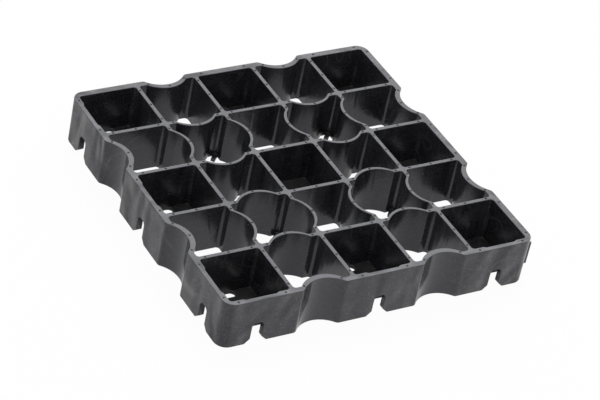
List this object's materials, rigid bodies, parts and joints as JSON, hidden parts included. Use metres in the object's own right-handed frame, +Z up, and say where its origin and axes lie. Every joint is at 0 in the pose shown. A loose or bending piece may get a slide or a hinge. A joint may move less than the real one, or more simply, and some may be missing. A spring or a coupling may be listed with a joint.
{
  "type": "grass paver grid",
  "caption": "Square moulded plastic grass paver grid with straight and curved cell walls, floors in alternate cells, and slots and T-shaped tabs that lock it to its neighbours.",
  "frame": {"origin": "on the ground, under the middle of the grid's cells, on the underside of the middle cell's floor", "axes": "+Z up out of the open cells; +X towards the right side and +Y towards the back, which carry the tabs; slots face -X and -Y"},
  "size_m": [0.3407, 0.3407, 0.05],
  "materials": {
    "grid": "satin dark grey recycled polyethylene with flow marks and scuffs"
  },
  "bodies": {
    "root": {"paver_grid": "grid"}
  },
  "joints": []
}
